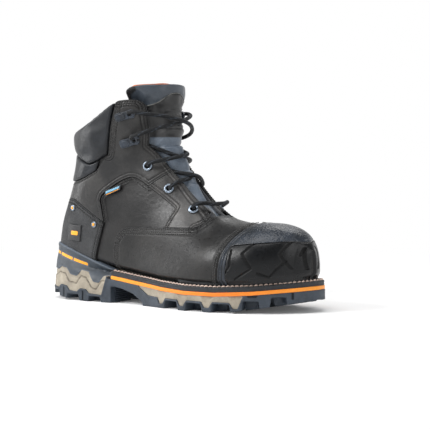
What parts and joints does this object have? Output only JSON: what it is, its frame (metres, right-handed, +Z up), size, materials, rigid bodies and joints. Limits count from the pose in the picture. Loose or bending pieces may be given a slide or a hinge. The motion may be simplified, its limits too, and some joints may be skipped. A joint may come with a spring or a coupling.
{
  "type": "steel toe work boot",
  "caption": "Six-inch lace-up work boot with a steel toe under a protective bumper, padded collar and tongue, welted upper and lugged sole.",
  "frame": {"origin": "on the floor, under the middle of the sole outline", "axes": "+X towards the toe, +Z up, +Y towards the medial side of this right boot"},
  "size_m": [0.315, 0.1136, 0.2233],
  "materials": {
    "outsole_rubber": "matte moulded",
    "midsole_foam": "matte moulded",
    "heel_shell": "satin moulded",
    "orange_rubber": "satin",
    "welt_rubber": "matte",
    "stitch_thread": "waxed thread",
    "cork_filler": "pressed cork",
    "shank_steel": "stamped",
    "insole_fibre": "pressed fibreboard",
    "footbed_foam": "brushed textile on foam",
    "lining_mesh": "knitted mesh",
    "toe_steel": "stamped",
    "counter_board": "pressed fibreboard",
    "backing_foam": "foam on fabric",
    "upper_leather": "oiled full grain",
    "heel_leather": "nubuck",
    "toe_leather": "pebbled and coated",
    "bumper_rubber": "smooth satin",
    "collar_leather": "soft padded",
    "tongue_leather": "soft padded",
    "tongue_orange": "brushed lining",
    "gusset_fabric": "woven nylon",
    "eyelet_metal": "satin plated",
    "loop_plastic": "moulded",
    "lace_cord": "round braid with flecks",
    "lace_tip": "heat shrunk film",
    "rivet_metal": "domed cap",
    "label_rubber": "moulded badge",
    "tag_fabric": "woven tag"
  },
  "bodies": {
    "boot": {"outsole": "outsole_rubber", "midsole": "midsole_foam", "heel_insert": "midsole_foam", "heel_cup": "heel_shell", "heel_stripes": "orange_rubber", "foxing_stripe": "orange_rubber", "welt": "welt_rubber", "welt_stitches": "stitch_thread", "filler": "cork_filler", "shank": "shank_steel", "insole_board": "insole_fibre", "footbed": "footbed_foam", "quarter_lining": "lining_mesh", "vamp_lining": "lining_mesh", "steel_toe_cap": "toe_steel", "heel_counter": "counter_board", "vamp_backing": "backing_foam", "quarter_lateral": "upper_leather", "quarter_medial": "upper_leather", "vamp": "upper_leather", "eyestay_lateral": "upper_leather", "eyestay_medial": "upper_leather", "shaft_panel_lateral": "upper_leather", "shaft_panel_medial": "upper_leather", "heel_overlay": "heel_leather", "backstay": "heel_leather", "toe_overlay": "toe_leather", "toe_bumper": "bumper_rubber", "collar_pad": "collar_leather", "collar_pad_lower": "collar_leather", "gusset_lateral": "gusset_fabric", "gusset_medial": "gusset_fabric", "tongue": "tongue_leather", "eyelets": "eyelet_metal", "lace_loops": "loop_plastic", "lace": "lace_cord", "lace_tips": "lace_tip", "heel_rivets": "rivet_metal", "heel_label": "label_rubber", "side_tag": "tag_fabric"},
    "tongue_flap": {"tongue_top": "tongue_leather", "tongue_top_lining": "tongue_orange"}
  },
  "joints": [
    {"name": "tongue_fold", "type": "hinge", "parent": "boot", "child": "tongue_flap", "pos_m": [-0.014, 0, 0.197], "axis": [0, 1, 0], "range_deg": [0, 30]}
  ]
}
